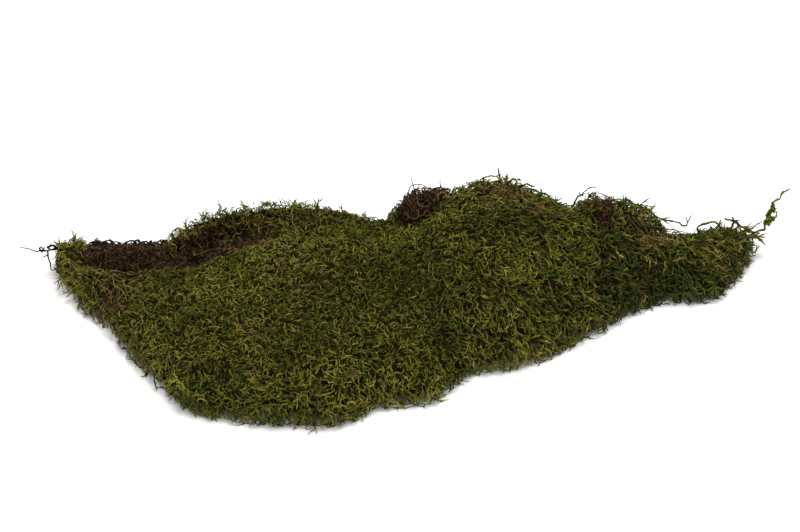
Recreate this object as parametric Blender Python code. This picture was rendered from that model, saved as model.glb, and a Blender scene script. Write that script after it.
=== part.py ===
"""A torn clump of sheet moss, lifted from the ground and lying flat.

A mat of humus and dead stems carries everything else: the moss carpet over its front and top,
a tuft round its left tip, a narrow strip of moss along its back rim, two bare root clods, a
shoulder tuft and a few long loose stems and rootlets. Between the carpet and the back rim the
mat is torn open, and the bare humus shows in the tear.

Every length is in millimetres until the mesh is made. X runs along the clump, Y runs away from
its front, Z is up, and the mat rests on Z = 0. Each moss solid reaches the tips of its shoots.
"""

import bisect
import math
from dataclasses import dataclass

import bmesh
import bpy
from mathutils import Vector, noise

MM = 0.001

# --- Driving dimensions -----------------------------------------------------------------
GAP = 0.4  # clear space between two pieces that rest on each other
FOOT_CLEARANCE = 0.6  # height of the hanging moss above the surface the mat stands on
LEFT_END, RIGHT_END = -174.0, 176.0  # ends of the mat along X
STATION_STEP = 9.0  # spacing of the cross-sections along X
NEAREST_STATION = 3.0  # a regular cross-section this close to a patch's end is left out
FRONT_CELLS = 11  # cells from the front edge to the carpet's back border
BACK_CELLS = 7  # cells from behind that border to the back edge
BORDER_WIDTH = 1.0  # bare line between the carpet and the pieces behind it
EDGE_THICKNESS = 4.5  # the mat along its torn outer edge
EDGE_UNDERCUT = 1.5  # how far the mat's foot stands in from that edge
EDGE_MARGIN = 3.0  # least distance from the carpet's back border to either edge of the mat
FRONT_SWELL = 1.8  # how quickly the front rises: 1 is a straight slope, more is a fuller shoulder
BACK_SWELL = 1.6  # the same for the back slope
UNDULATION, UNDULATION_LENGTH = 1.3, 24.0  # height and length of the soft bumps in the mat
UNDULATION_FADE = 8.0  # distance from the edge over which the bumps die away
THINNEST_MAT = 4.0
EDGE_WAVE, EDGE_WAVE_LENGTH = 2.2, 16.0  # depth and length of the scallops in the torn edges
TIP_FADE = 20.0  # distance from either tip over which the scallops die away
SHARP_ANGLE = 50.0  # degrees

# --- Lines along the clump: (x, value) ----------------------------------------------------
FRONT_EDGE = (
    (-174, 34), (-160, 15), (-137, -13), (-109, -52), (-94, -66), (-58, -72), (-28, -72),
    (-12, -63), (18, -57), (28, -41), (60, -31), (92, -9), (128, 16), (150, 16), (164, 30),
    (176, 49),
)  # fmt: skip
CREST = (
    (-174, 36), (-160, 20), (-134, 13), (-97, 16), (-81, 23), (-51, 30), (-12, 32), (12, 31),
    (28, 43), (48, 51), (66, 46), (97, 37), (117, 33), (149, 42), (169, 53), (176, 54),
)  # fmt: skip
RIM = (
    (-174, 39), (-160, 31), (-145, 28), (-125, 26), (-113, 30), (-99, 38), (-80, 41),
    (-47, 45), (-17, 41), (12, 40), (30, 52), (50, 60), (70, 56), (100, 48), (118, 47),
    (140, 46), (168, 58), (176, 56),
)  # fmt: skip
BACK_EDGE = (
    (-174, 44), (-160, 45), (-134, 41), (-113, 45), (-90, 56), (-60, 62), (-30, 60),
    (-8, 55), (12, 58), (30, 67), (50, 76), (72, 71), (100, 61), (118, 62), (135, 56),
    (152, 60), (168, 68), (176, 60),
)  # fmt: skip

CREST_HEIGHT = (
    (-174, 7), (-160, 10), (-134, 13), (-97, 17), (-66, 22), (-12, 26), (10, 31), (22, 38),
    (46, 39), (66, 33), (97, 25), (130, 14), (149, 9), (176, 4.5),
)  # fmt: skip
TEAR_HEIGHT = (
    (-174, 6), (-160, 8), (-134, 8), (-97, 11), (-66, 17), (-30, 24), (-12, 26), (10, 30),
    (22, 37), (46, 38), (66, 32), (97, 24), (130, 13), (149, 9), (176, 4.5),
)  # fmt: skip
RIM_HEIGHT = (
    (-174, 8), (-160, 16), (-134, 21), (-122, 20), (-99, 26), (-60, 29), (-35, 30),
    (-12, 26), (10, 29), (22, 34), (46, 33), (66, 29), (97, 22), (130, 12), (149, 8), (176, 4.5),
)  # fmt: skip
CARPET_SETBACK = (
    (-174, 1.5), (-86, 1.5), (-68, 5), (-48, 11), (-12, 12), (0, 3), (14, 3), (28, 12), (78, 13),
    (88, 2), (110, 2), (118, 4), (176, 2),
)  # fmt: skip  # how far the carpet runs on behind the crest
TEAR_PLACE = 0.42  # where the tear is deepest, from the crest (0) to the rim (1)

# --- Colours (linear RGB) and roughness -----------------------------------------------------
HUMUS = ((0.035, 0.021, 0.010), 0.95)
ROOT_CLOD = ((0.046, 0.029, 0.014), 0.95)
MOSS = ((0.062, 0.066, 0.007), 0.80)
DRY_MOSS = ((0.105, 0.080, 0.016), 0.85)
STEM = ((0.060, 0.048, 0.014), 0.75)
ROOTLET = ((0.022, 0.014, 0.009), 0.85)

# --- The pieces that grow on the mat --------------------------------------------------------
THINNEST = 1.2  # moss at a free border
SHORTEST_SKIRT = 0.25  # a skirt's reach where its patch thins out, as a share of its full reach
SKIRT_PROFILE = ((0.85, 0.0), (1.0, 0.35), (0.62, 0.78))  # (share of its reach, of its height)
BORDER = FRONT_CELLS  # the line of the ground that is the carpet's back border
LAST = FRONT_CELLS + 1 + BACK_CELLS  # the line of the ground that is the mat's back edge


@dataclass(frozen=True)
class Patch:
    """A piece that grows on the ground between two places along X and two lines across."""

    xs: tuple
    lines: tuple
    thickness: float
    finish_name: str
    finish: tuple
    front_skirt: float = 0.0  # how far it hangs out past the mat's front edge
    back_skirt: float = 0.0
    thin_ends: tuple = (True, True)  # whether it thins out towards its left and right ends
    right_share: float = 1.0  # its thickness at the right end, as a share of that at the left


PATCHES = {
    "moss_carpet": Patch(
        (-159.0, RIGHT_END), (0, BORDER), 8.5, "moss", MOSS, front_skirt=7.5, thin_ends=(False, False)
    ),
    "left_tip_tuft": Patch(
        (LEFT_END, -160.0), (0, LAST), 6.0, "dry_moss", DRY_MOSS,
        front_skirt=5.0, back_skirt=4.0, thin_ends=(False, False),
    ),
    "back_rim_moss": Patch((-116.0, -18.0), (BORDER + 3, LAST), 8.0, "moss", MOSS, back_skirt=6.0),
    "middle_root_clod": Patch(
        (-6.0, 23.0), (BORDER + 1, LAST - 1), 22.0, "root_clod", ROOT_CLOD,
        thin_ends=(True, False), right_share=0.4,
    ),
    "right_root_clod": Patch(
        (86.0, 104.0), (BORDER + 1, LAST - 1), 14.0, "root_clod", ROOT_CLOD, thin_ends=(True, False)
    ),
    "shoulder_tuft": Patch(
        (105.0, 134.0), (BORDER + 1, LAST), 17.0, "dry_moss", DRY_MOSS,
        back_skirt=6.0, thin_ends=(False, True),
    ),
}  # fmt: skip

# --- Long loose stems and rootlets: points of a smooth route, thickness ----------------------
STEMS = {
    "long_stem": ([(178, 53, 10), (184, 54, 11), (186, 55, 19), (190, 57, 29), (194, 58, 36)], 1.3),
    "forked_stem": ([(177.5, 51, 7.5), (183, 50, 9), (187, 49, 7)], 1.1),
    "arched_stem": ([(152, 55, 14.5), (155, 56, 18), (161, 56, 16.5), (163, 56, 12)], 1.0),
    "hooked_stem": ([(135, 57, 17), (140, 58, 14.5), (145, 59, 11.5), (147, 60, 16)], 0.9),
    "tail_stem": ([(165, 58, 13.5), (169, 58, 15.5), (175, 58, 12.5), (180, 58, 10)], 1.2),
    "crest_stem": ([(49, 60, 43.8), (48, 61, 46), (47, 62, 48.5)], 1.0),
}  # fmt: skip
ROOTLETS = {
    "left_rootlet": ([(-175.5, 36, 13), (-180, 37, 13), (-186, 37, 12), (-192, 38, 13)], 0.9),
    "clod_rootlet": ([(5, 47, 46.5), (4, 48, 48.8), (5, 49, 51)], 0.9),
}  # fmt: skip
STEM_SIDES = 2  # bevel resolution of a stem
STEM_POINTS = 10  # points on a stem's smooth route
STEM_TAPER = 0.45  # share of its thickness that a stem loses by its end


def clear_scene():
    for obj in list(bpy.data.objects):
        bpy.data.objects.remove(obj, do_unlink=True)


def along(points, x):
    """The value at x of the smooth line through the (x, value) points."""
    places = [p[0] for p in points]
    k = min(max(bisect.bisect_right(places, x) - 1, 0), len(points) - 2)
    (x0, v0), (x1, v1) = points[k], points[k + 1]
    before, after = points[max(k - 1, 0)], points[min(k + 2, len(points) - 1)]
    span = x1 - x0
    t = min(max((x - x0) / span, 0.0), 1.0)
    start = (v1 - before[1]) / (x1 - before[0]) * span
    end = (after[1] - v0) / (after[0] - x0) * span
    return (
        v0 * (2 * t**3 - 3 * t**2 + 1)
        + v1 * (3 * t**2 - 2 * t**3)
        + start * (t**3 - 2 * t**2 + t)
        + end * (t**3 - t**2)
    )


def eased(t):
    return t * t * (3 - 2 * t)


def scallop(x, seed):
    """The small in and out of a torn edge at x, none at the clump's two tips."""
    fade = min(1.0, (x - LEFT_END) / TIP_FADE, (RIGHT_END - x) / TIP_FADE)
    return EDGE_WAVE * fade * noise.noise(Vector((x / EDGE_WAVE_LENGTH, seed, 0.5)))


def front_edge(x):
    return along(FRONT_EDGE, x) + scallop(x, 1.3)


def back_edge(x):
    return along(BACK_EDGE, x) + scallop(x, 7.7)


def mat_height(x, y):
    """Height of the top of the mat: front slope, crest, tear, back rim and back slope."""
    crest, rim = along(CREST, x), along(RIM, x)
    front, back = front_edge(x), back_edge(x)
    tear = crest + TEAR_PLACE * (rim - crest)
    crest_z, tear_z, rim_z = (along(line, x) for line in (CREST_HEIGHT, TEAR_HEIGHT, RIM_HEIGHT))
    if y <= crest:
        t = min(max((y - front) / (crest - front), 0.0), 1.0)
        z = EDGE_THICKNESS + (crest_z - EDGE_THICKNESS) * (1 - (1 - t) ** FRONT_SWELL)
    elif y <= tear:
        z = crest_z + (tear_z - crest_z) * eased((y - crest) / (tear - crest))
    elif y <= rim:
        z = tear_z + (rim_z - tear_z) * eased((y - tear) / (rim - tear))
    else:
        t = min((y - rim) / (back - rim), 1.0)
        z = rim_z + (EDGE_THICKNESS - rim_z) * t**BACK_SWELL
    inside = min(1.0, max(0.0, min(y - front, back - y)) / UNDULATION_FADE)
    place = Vector((x / UNDULATION_LENGTH, y / UNDULATION_LENGTH, 3.1))
    return max(z + UNDULATION * inside * noise.noise(place), THINNEST_MAT)


class Ground:
    """The top of the mat as a grid of points: stations along X, lines across."""

    def __init__(self, patch_ends):
        regular_count = math.ceil((RIGHT_END - LEFT_END) / STATION_STEP)
        step = (RIGHT_END - LEFT_END) / regular_count
        ends = sorted({LEFT_END, RIGHT_END, *patch_ends})
        regular = [LEFT_END + step * i for i in range(1, regular_count)]
        kept = [x for x in regular if min(abs(x - e) for e in ends) > NEAREST_STATION]
        self.stations = sorted(ends + kept)
        self.points = [self._across(x) for x in self.stations]

    def _across(self, x):
        front, back = front_edge(x), back_edge(x)
        border = along(CREST, x) + along(CARPET_SETBACK, x)
        border = min(max(border, front + EDGE_MARGIN), back - EDGE_MARGIN)
        ys = [front + (border - front) * j / FRONT_CELLS for j in range(FRONT_CELLS + 1)]
        behind = border + BORDER_WIDTH
        ys += [behind + (back - behind) * j / BACK_CELLS for j in range(BACK_CELLS + 1)]
        return [(x, y, mat_height(x, y)) for y in ys]

    def station_range(self, first_x, last_x):
        return self.stations.index(first_x), self.stations.index(last_x)


def material(name, finish):
    colour, roughness = finish
    made = bpy.data.materials.get(name)
    if made:
        return made
    made = bpy.data.materials.new(name)
    made.use_nodes = True
    shader = made.node_tree.nodes["Principled BSDF"]
    shader.inputs["Base Color"].default_value = (*colour, 1.0)
    shader.inputs["Roughness"].default_value = roughness
    made.diffuse_color = (*colour, 1.0)
    return made


def add_object(name, data, finish_name, finish, root):
    data.materials.append(material(finish_name, finish))
    obj = bpy.data.objects.new(name, data)
    bpy.context.scene.collection.objects.link(obj)
    obj.parent = root
    return obj


def loft(name, rings, finish_name, finish, root):
    """A closed solid through rings of points, each ring one cross-section.

    Every cell is split along the same diagonal, so two pieces that share the ground's points
    keep their gap all over.
    """
    bm = bmesh.new()
    made = [[bm.verts.new(Vector(p) * MM) for p in ring] for ring in rings]
    for ring, after in zip(made, made[1:]):
        for k in range(len(ring)):
            n = (k + 1) % len(ring)
            bm.faces.new((ring[k], ring[n], after[n]))
            bm.faces.new((ring[k], after[n], after[k]))
    bm.faces.new(made[0])
    bm.faces.new(reversed(made[-1]))
    bmesh.ops.recalc_face_normals(bm, faces=bm.faces)
    mesh = bpy.data.meshes.new(name)
    bm.to_mesh(mesh)
    bm.free()
    mesh.shade_smooth()
    mesh.set_sharp_from_angle(angle=math.radians(SHARP_ANGLE))
    return add_object(name, mesh, finish_name, finish, root)


def humus_mat(ground, root):
    rings = []
    for points in ground.points:
        x, front, _ = points[0]
        back = points[-1][1]
        rings.append([*points, (x, back - EDGE_UNDERCUT, 0), (x, front + EDGE_UNDERCUT, 0)])
    return loft("humus_mat", rings, "humus", HUMUS, root)


def fullness(t):
    """0 at a free border (t = 0 or 1), 1 well inside."""
    return math.sin(math.pi * min(max(t, 0.0), 1.0)) ** 0.5


def grown_patch(ground, name, patch, root):
    """One piece that grows on the ground: its floor follows the ground, a gap above it."""
    first, last = ground.station_range(*patch.xs)
    rings = []
    for i in range(first, last + 1):
        u = (i - first) / (last - first)
        thins = patch.thin_ends[0] if u < 0.5 else patch.thin_ends[1]
        along_fullness = fullness(u) if thins else 1.0
        along_fullness *= 1 + (patch.right_share - 1) * u
        points = ground.points[i][patch.lines[0]: patch.lines[1] + 1]
        floor = [(x, y, z + GAP) for x, y, z in points]
        top = []
        for j, (x, y, z) in enumerate(floor):
            across_fullness = fullness(place_across(j / (len(floor) - 1), patch))
            grown = THINNEST + (patch.thickness - THINNEST) * across_fullness * along_fullness
            top.append((x, y, z + grown))
        ring = list(floor)
        reach_share = max(SHORTEST_SKIRT, min(1.0, along_fullness))
        if patch.back_skirt:
            ring += skirt(ring.pop(), top[-1], patch.back_skirt * reach_share)
        ring += reversed(top)
        if patch.front_skirt:
            ring = skirt(ring.pop(0), top[0], -patch.front_skirt * reach_share)[::-1] + ring
        rings.append(ring)
    return loft(name, rings, patch.finish_name, patch.finish, root)


def place_across(t, patch):
    """Where t (0 at the front line, 1 at the back) lies between the free borders of a patch."""
    if patch.front_skirt and patch.back_skirt:
        return 0.5
    if patch.front_skirt:
        return 0.5 + t / 2
    if patch.back_skirt:
        return t / 2
    return t


def skirt(floor_point, top_point, reach):
    """The points of a hanging skirt, from the floor of the patch round to its top.

    It hangs out past the mat's edge, down to just above the surface the mat stands on.
    """
    x, y, floor_z = floor_point
    height = top_point[2] - FOOT_CLEARANCE
    inner = y + math.copysign(GAP, reach)
    outer = [(x, y + reach * out, FOOT_CLEARANCE + height * up) for out, up in SKIRT_PROFILE]
    return [(x, inner, floor_z), (x, inner, FOOT_CLEARANCE), *outer]


def smooth_route(points, count):
    """count points along the smooth curve through the given ones."""
    steps = len(points) - 1
    axes = [[(i, p[axis]) for i, p in enumerate(points)] for axis in range(3)]
    return [
        tuple(along(axis, steps * i / (count - 1)) for axis in axes) for i in range(count)
    ]


def stem(name, points, thickness, finish_name, finish, root):
    curve = bpy.data.curves.new(name, "CURVE")
    curve.dimensions = "3D"
    curve.bevel_depth = thickness / 2 * MM
    curve.bevel_resolution = STEM_SIDES
    curve.use_fill_caps = True
    spline = curve.splines.new("POLY")
    route = smooth_route(points, STEM_POINTS)
    spline.points.add(len(route) - 1)
    for i, (point, place) in enumerate(zip(spline.points, route)):
        point.co = (*(Vector(place) * MM), 1.0)
        point.radius = 1.0 - STEM_TAPER * i / (len(route) - 1)
    return add_object(name, curve, finish_name, finish, root)


def centre_on_base(root):
    """Moves the clump so that the middle of its box stands over the origin."""
    bpy.context.view_layer.update()
    graph = bpy.context.evaluated_depsgraph_get()
    points = []
    for obj in root.children:
        evaluated = obj.evaluated_get(graph)
        mesh = evaluated.to_mesh()
        points += [evaluated.matrix_world @ vertex.co for vertex in mesh.vertices]
        evaluated.to_mesh_clear()
    for axis in (0, 1):
        values = [point[axis] for point in points]
        root.location[axis] = -(min(values) + max(values)) / 2
    bpy.context.view_layer.update()


def main():
    clear_scene()
    root = bpy.data.objects.new("moss_clump", None)
    bpy.context.scene.collection.objects.link(root)

    ground = Ground([x for patch in PATCHES.values() for x in patch.xs])
    humus_mat(ground, root)
    for name, patch in PATCHES.items():
        grown_patch(ground, name, patch, root)
    for name, (points, thickness) in STEMS.items():
        stem(name, points, thickness, "stem", STEM, root)
    for name, (points, thickness) in ROOTLETS.items():
        stem(name, points, thickness, "rootlet", ROOTLET, root)
    centre_on_base(root)


main()
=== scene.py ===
"""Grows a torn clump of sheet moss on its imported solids.

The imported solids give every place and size: the humus mat that carries the clump, the two root
clods, the moss carpet, its tufts and rim, and the loose stems and rootlets. Each operator dresses
one of these or a group of like ones. Moss shoots, rootlets and crumbs are all real meshes.
Lengths are in metres, and the millimetre values below are turned into metres where they are used.
"""

import math
from dataclasses import dataclass, replace

import bpy
import numpy as np
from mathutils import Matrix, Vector, noise
from mathutils.bvhtree import BVHTree


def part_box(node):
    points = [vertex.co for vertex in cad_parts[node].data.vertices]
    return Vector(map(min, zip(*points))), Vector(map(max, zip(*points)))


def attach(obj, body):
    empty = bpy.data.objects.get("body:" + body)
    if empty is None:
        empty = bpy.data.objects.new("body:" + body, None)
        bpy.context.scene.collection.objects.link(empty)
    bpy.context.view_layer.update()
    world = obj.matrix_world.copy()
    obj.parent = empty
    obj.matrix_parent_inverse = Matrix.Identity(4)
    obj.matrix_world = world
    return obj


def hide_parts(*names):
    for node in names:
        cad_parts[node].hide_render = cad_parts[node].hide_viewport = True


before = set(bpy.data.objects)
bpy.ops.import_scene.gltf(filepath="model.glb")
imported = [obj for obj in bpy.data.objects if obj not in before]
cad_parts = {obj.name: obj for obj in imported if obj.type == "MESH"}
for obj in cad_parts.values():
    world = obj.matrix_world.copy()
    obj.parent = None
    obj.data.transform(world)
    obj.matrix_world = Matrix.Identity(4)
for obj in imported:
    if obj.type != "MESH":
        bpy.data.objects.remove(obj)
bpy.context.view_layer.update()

bl_info = {
    "name": "Moss Clump",
    "version": (1, 0, 0),
    "blender": (4, 5, 0),
    "location": "3D View > Sidebar > Moss",
    "description": "Grows a torn clump of sheet moss on its packed solids",
    "category": "Add Mesh",
}

MM = 0.001
BODY = "root"
UV_MAP = "OFBake"  # X holds a strand's tone, Y the age of the place on it
FLOOR_CLEARANCE = 0.1 * MM
DARKEST, BRIGHTEST = 0.03, 0.97  # the range of a strand's tone

# --- Places on the clump: (x, y, radius along x, radius along y, strength), in mm -----
DRY_PATCHES = (
    (-141, 2, 9, 15, 1.8), (-131, -23, 9, 8, 0.7), (-36, -5, 8, 7, 1.0), (-49, -9, 6, 5, 0.7),
    (-4, -33, 9, 4, 0.5), (46, 48, 14, 7, 1.4), (153, 33, 8, 5, 0.9), (-157, 20, 8, 8, 0.7),
    (64, -4, 9, 5, 0.4), (88, -12, 8, 5, 0.4), (-118, -44, 7, 6, 0.4), (120, 38, 8, 8, 1.6),
    (-109, 33, 6, 6, 1.5), (-38, 46, 6, 5, 0.4), (162, 44, 10, 6, 0.3), (68, 40, 8, 6, 0.4),
)  # fmt: skip
# Hollows: the moss's surface is lowered there. Painted shade: the shoots there also get a darker tone
# and keep the dark colour of their old base further up.
SHADED_HOLLOWS = (
    (18, -38, 6, 9, 1.0), (-89, -57, 14, 6, 0.7), (120, 18, 14, 8, 0.8), (76, -8, 9, 7, 0.6),
    (-37, -6, 9, 7, 1.4), (-142, 2, 6, 12, 0.6), (104, 30, 9, 6, 0.7), (60, 24, 14, 6, 0.5),
    (-60, -48, 12, 5, 0.5), (100, 4, 10, 6, 0.7), (30, -52, 9, 6, 0.5), (40, 20, 12, 7, 0.4),
    (-132, -12, 5, 5, 0.6), (150, 20, 9, 5, 0.4),
)  # fmt: skip
GREEN_PATCHES = (
    (18, -2, 14, 10, 0.8), (3, -9, 11, 10, 0.8), (-126, 12, 13, 9, 0.9), (-70, 0, 12, 10, 0.3),
    (100, 16, 20, 14, 0.9), (52, 30, 20, 9, 0.7), (20, 26, 14, 8, 0.5), (138, 16, 22, 12, 0.9),
)  # fmt: skip
YELLOW_PATCHES = (
    (-56, 16, 26, 16, 1.3), (46, -7, 15, 12, 0.3), (-20, -62, 40, 10, 1.3),
    (-110, -50, 16, 12, 0.6), (72, -24, 20, 8, 0.6), (-20, 28, 30, 10, 1.1), (28, 36, 12, 8, 0.3),
)  # fmt: skip
CREEPING_PATCHES = (  # moss that has crept over bare humus and over the middle clod's right side
    (-54, 45, 13, 8, 2.4), (-20, 44, 14, 9, 1.0), (25, 50, 4, 8, 0.7), (12, 46, 9, 8, 0.35),
    (86, 50, 8, 9, 1.6), (70, 62, 22, 5, 0.35), (168, 54, 11, 8, 0.9), (152, 50, 12, 7, 0.45),
    (136, 50, 6, 5, 0.4),
)  # fmt: skip
BARE_PATCHES = ((-98, 32, 12, 5, 1.3), (-88, 34, 7, 3, 0.9))  # humus that shows on the rim's foot


# --- Settings -------------------------------------------------------------------------


def length_setting(name, description, default):
    return bpy.props.FloatProperty(
        name=name, description=description, default=default, min=0.0, unit="LENGTH", precision=5
    )


def colour_setting(name, description, default):
    return bpy.props.FloatVectorProperty(
        name=name, description=description, default=default, size=3, min=0.0, max=1.0,
        subtype="COLOR",
    )  # fmt: skip


class MossShootSettings(bpy.types.PropertyGroup):
    """Size and colours of the living moss."""

    spacing: length_setting("Spacing", "Least distance between two fine shoots", 1.18 * MM)
    coarse_spacing: length_setting("Coarse Spacing", "The same where the moss is coarse", 1.8 * MM)
    length: length_setting("Length", "Length of a fine shoot", 4.9 * MM)
    coarse_length: length_setting("Coarse Length", "Length of a coarse shoot", 9.5 * MM)
    width: length_setting("Width", "Width of a fine shoot with its leaves", 0.64 * MM)
    coarse_width: length_setting("Coarse Width", "Width of a coarse shoot", 0.96 * MM)
    shade_green: colour_setting("Shade Green", "Shoots in the dark hollows", (0.026, 0.040, 0.005))
    leaf_green: colour_setting("Leaf Green", "Fresh shoots", (0.078, 0.098, 0.007))
    olive: colour_setting("Olive", "Most of the shoots", (0.138, 0.143, 0.011))
    yellow: colour_setting("Yellow", "Sunlit shoot tips", (0.285, 0.272, 0.034))
    straw: colour_setting("Straw", "Dead shoots", (0.200, 0.142, 0.044))
    rust: colour_setting("Rust", "The oldest shoots", (0.120, 0.050, 0.016))
    old_base: colour_setting("Old Base", "The brown foot of every shoot", (0.023, 0.020, 0.0045))


class MossHumusSettings(bpy.types.PropertyGroup):
    """Size and colours of the humus mat and the root clods."""

    crumb_size: length_setting("Crumb Size", "Radius of the largest crumbs", 1.0 * MM)
    rootlet_width: length_setting("Rootlet Width", "Thickness of the fine roots", 0.55 * MM)
    rootlet_length: length_setting("Rootlet Length", "Length of the fine roots", 6.5 * MM)
    dark: colour_setting("Dark Humus", "The hollows of the humus", (0.016, 0.010, 0.006))
    brown: colour_setting("Brown Humus", "Most of the humus", (0.076, 0.043, 0.022))
    pale: colour_setting("Pale Humus", "Dry crumbs and fibres", (0.290, 0.175, 0.090))


class MossStageSettings(bpy.types.PropertyGroup):
    """The floor, the lights and the camera."""

    floor: colour_setting("Floor", "Colour of the floor", (1.0, 1.0, 1.0))
    camera_distance: length_setting("Camera Distance", "From the clump's middle", 0.95)
    camera_elevation: bpy.props.FloatProperty(
        name="Camera Elevation", description="Angle above the floor", default=math.radians(38),
        subtype="ANGLE",
    )  # fmt: skip
    lens: bpy.props.FloatProperty(
        name="Lens", description="Focal length in millimetres", default=87.0, min=1.0
    )
    sky_strength: bpy.props.FloatProperty(
        name="Sky Strength", description="Light from all round", default=0.74, min=0.0
    )
    key_power: bpy.props.FloatProperty(
        name="Key Power", description="Watts of the large soft lamp", default=19.0, min=0.0,
        unit="POWER",
    )  # fmt: skip


# --- Fields over the clump ------------------------------------------------------------


def bumps(points, size, seed):
    """Smooth noise, about -0.7 to 0.7, with features as large as size (metres)."""
    shift = Vector((seed * 17.3, seed * 5.1, seed * 9.7))
    return np.array([noise.noise(Vector(p) / size + shift) for p in points])


def near(points, patches):
    """How much each point lies in one of the patches: 0 outside them, up to their strength."""
    found = np.zeros(len(points))
    for x, y, radius_x, radius_y, strength in patches:
        across = (points[:, 0] / MM - x) / radius_x
        deep = (points[:, 1] / MM - y) / radius_y
        found = np.maximum(found, strength * np.exp(-(across**2 + deep**2) * 0.7))
    return found


def smooth_step(values, low, high):
    t = np.clip((values - low) / (high - low), 0.0, 1.0)
    return t * t * (3 - 2 * t)


def coarseness(points):
    """0 where the moss is fine (left and middle), 1 where it is coarse (right and front edge)."""
    rightwards = smooth_step(points[:, 0], -10 * MM, 95 * MM)
    frontwards = 0.45 * smooth_step(-points[:, 1], 35 * MM, 75 * MM)
    return np.clip(rightwards + frontwards + 0.25 * bumps(points, 30 * MM, 3), 0.0, 1.0)


def moss_tone(points, rng, shift=0.0):
    """A shoot's tone: 0 shade green, 0.3 leaf green, 0.55 olive, 0.75 yellow, then straw and rust."""
    tone = 0.46 + shift + 0.20 * bumps(points, 38 * MM, 5) + 0.24 * bumps(points, 9 * MM, 6)
    tone += 0.12 * bumps(points, 4 * MM, 8) - 0.07 * coarseness(points)
    tone += 0.16 * near(points, YELLOW_PATCHES) - 0.22 * near(points, GREEN_PATCHES)
    # Painted shade: shoots in the hollows get a darker tone.
    tone -= 0.20 * near(points, SHADED_HOLLOWS)
    tone += 0.11 * rng.normal(size=len(points))
    dry = near(points, DRY_PATCHES)
    tone += 0.22 * dry
    withered = 0.28 * smooth_step(bumps(points, 5 * MM, 7), 0.12, 0.45)
    dead = rng.random(len(points)) < 0.03 + withered + 0.6 * dry
    tone[dead] = rng.uniform(0.74, 0.98, dead.sum()) + 0.16 * np.clip(dry[dead] - 0.8, 0, 1)
    return np.clip(tone, DARKEST, BRIGHTEST)


def unit(vectors):
    return vectors / np.maximum(np.linalg.norm(vectors, axis=-1, keepdims=True), 1e-12)


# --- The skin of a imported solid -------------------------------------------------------


@dataclass
class Skin:
    """Triangles that face outwards: their corners, the smooth normals there, and their areas."""

    corners: np.ndarray
    normals: np.ndarray
    areas: np.ndarray


def solid_tree(*nodes):
    """The nodes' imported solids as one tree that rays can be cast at."""
    corners, faces = [], []
    for node in nodes:
        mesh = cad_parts[node].data
        start = len(corners)
        corners += [tuple(v.co) for v in mesh.vertices]
        faces += [tuple(start + i for i in p.vertices) for p in mesh.polygons]
    return BVHTree.FromPolygons(corners, faces)


HUMUS_TREE = solid_tree("humus_mat")
WHOLE_TREE = solid_tree(*[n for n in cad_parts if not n.endswith(("stem", "rootlet"))])
TOUCHING = 1.5 * MM  # a face this close to the humus is hidden against it
HAIR = 0.05 * MM  # how far off a surface a ray starts
SAME_PLACE = 0.01 * MM  # corners this close share their smooth normal
SMALLEST_FACE = 1e-9


def vectors(items, key):
    """The key's vector of every item, as rows."""
    flat = np.empty(len(items) * 3, np.float32)
    items.foreach_get(key, flat)
    return flat.reshape(-1, 3).astype(float)


def outer_skin(node, lowest_normal=-0.55, hidden_by=(HUMUS_TREE,), reach=TOUCHING):
    """The part of a node's surface that is neither against another solid nor facing the floor."""
    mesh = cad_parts[node].data
    mesh.calc_loop_triangles()
    index = np.array([tuple(triangle.vertices) for triangle in mesh.loop_triangles])
    corners = vectors(mesh.vertices, "co")[index]
    cross = np.cross(corners[:, 1] - corners[:, 0], corners[:, 2] - corners[:, 0])
    areas = np.linalg.norm(cross, axis=1) / 2
    normals = unit(cross)
    outer = (normals[:, 2] > lowest_normal) & (areas > SMALLEST_FACE)
    for i in np.flatnonzero(outer):
        start = Vector(corners[i].mean(0) + normals[i] * HAIR)
        for tree in hidden_by:
            if tree.ray_cast(start, Vector(normals[i]), reach)[0] is not None:
                outer[i] = False
    corners, cross = corners[outer], cross[outer]
    keys = np.round(corners.reshape(-1, 3) / SAME_PLACE).astype(np.int64)
    _, inverse = np.unique(keys, axis=0, return_inverse=True)
    sums = np.zeros((inverse.max() + 1, 3))
    np.add.at(sums, inverse.ravel(), np.repeat(cross, 3, axis=0))
    return Skin(corners, unit(sums[inverse.ravel()]).reshape(-1, 3, 3), areas[outer])


def scatter(skin, spacing, rng, tries_each=3.2):
    """Places spread over a skin, each at least spacing(places) from every one before it."""
    finest = float(spacing(skin.corners.mean(1)).min())
    count = int(tries_each * skin.areas.sum() / finest**2)
    face = rng.choice(len(skin.areas), count, p=skin.areas / skin.areas.sum())
    a, b = np.sort(rng.random((2, count)), axis=0)
    weights = np.stack([a, b - a, 1 - b], axis=1)
    places = np.einsum("nc,nci->ni", weights, skin.corners[face])
    normals = unit(np.einsum("nc,nci->ni", weights, skin.normals[face]))
    reach = spacing(places)
    cells = np.floor(places / reach.max()).astype(int)
    steps = [(i, j, k) for i in (-1, 0, 1) for j in (-1, 0, 1) for k in (-1, 0, 1)]
    grid, kept = {}, []
    for n, ((x, y, z), place, least) in enumerate(
        zip(cells.tolist(), places.tolist(), (reach**2).tolist())
    ):
        if all(
            (place[0] - q[0]) ** 2 + (place[1] - q[1]) ** 2 + (place[2] - q[2]) ** 2 > least
            for i, j, k in steps
            for q in grid.get((x + i, y + j, z + k), ())
        ):
            grid.setdefault((x, y, z), []).append(place)
            kept.append(n)
    return places[kept], normals[kept]


def evenly(skin, spacing, rng):
    """Places spread over a skin with the same spacing everywhere."""
    return scatter(skin, lambda points: np.full(len(points), spacing), rng)


def room_below(tree, places, normals, most):
    """How thick the solid is under each place, at most `most`."""
    room = np.full(len(places), most)
    for n, (place, normal) in enumerate(zip(places, normals)):
        start = Vector(place - normal * HAIR)
        distance = tree.ray_cast(start, Vector(-normal), most)[3]
        if distance is not None:
            room[n] = distance
    return room


# --- Strands: shoots, stems and rootlets ----------------------------------------------


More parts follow.
